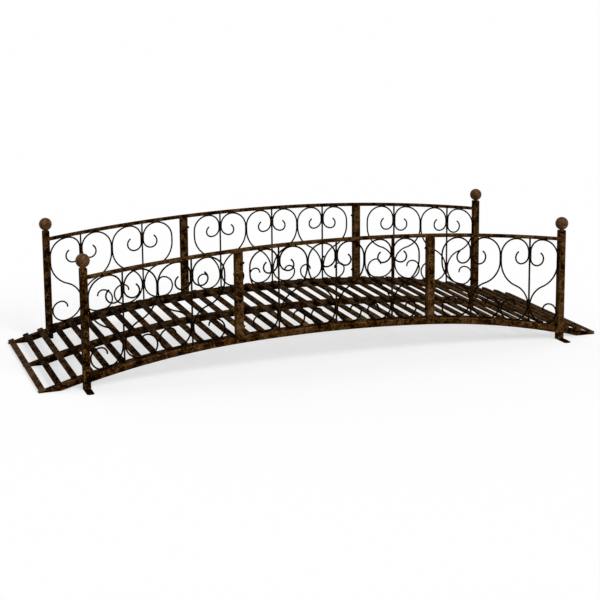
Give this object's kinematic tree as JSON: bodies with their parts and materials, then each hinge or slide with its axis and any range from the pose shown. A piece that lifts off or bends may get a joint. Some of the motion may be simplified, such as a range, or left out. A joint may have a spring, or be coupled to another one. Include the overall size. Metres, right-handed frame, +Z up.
{
  "type": "arched metal garden bridge",
  "caption": "Low arched garden footbridge of bronzed steel tube, with a slatted deck, ball-topped posts and railings filled with heart-shaped scroll work.",
  "frame": {"origin": "on the ground, under mid span, at the centre of the bridge's plan", "axes": "+X along the bridge, the way it is walked; +Y across it, towards the back railing; +Z up"},
  "size_m": [2.286, 0.915, 0.5034],
  "materials": {
    "frame_bronze": "antique bronze, mottled brown over near black, satin",
    "deck_bronze": "antique bronze, mottled brown over near black, satin",
    "scroll_iron": "near black with a brown cast, satin",
    "finial_bronze": "antique bronze, lighter and browner, satin"
  },
  "bodies": {
    "root": {"back_beam": "frame_bronze", "back_centre_lower_rail": "frame_bronze", "back_centre_scroll_panel": "scroll_iron", "back_handrail": "frame_bronze", "back_left_end_post": "frame_bronze", "back_left_foot": "frame_bronze", "back_left_lower_rail": "frame_bronze", "back_left_mid_post": "frame_bronze", "back_left_scroll_panel": "scroll_iron", "back_right_end_post": "frame_bronze", "back_right_foot": "frame_bronze", "back_right_lower_rail": "frame_bronze", "back_right_mid_post": "frame_bronze", "back_right_scroll_panel": "scroll_iron", "ball_finials": "finial_bronze", "centre_bay_slats": "deck_bronze", "front_beam": "frame_bronze", "front_centre_lower_rail": "frame_bronze", "front_centre_scroll_panel": "scroll_iron", "front_handrail": "frame_bronze", "front_left_end_post": "frame_bronze", "front_left_foot": "frame_bronze", "front_left_lower_rail": "frame_bronze", "front_left_mid_post": "frame_bronze", "front_left_scroll_panel": "scroll_iron", "front_right_end_post": "frame_bronze", "front_right_foot": "frame_bronze", "front_right_lower_rail": "frame_bronze", "front_right_mid_post": "frame_bronze", "front_right_scroll_panel": "scroll_iron", "left_bay_slats": "deck_bronze", "left_toe_bar": "deck_bronze", "middle_beam": "frame_bronze", "right_bay_slats": "deck_bronze", "right_toe_bar": "deck_bronze"}
  },
  "joints": []
}
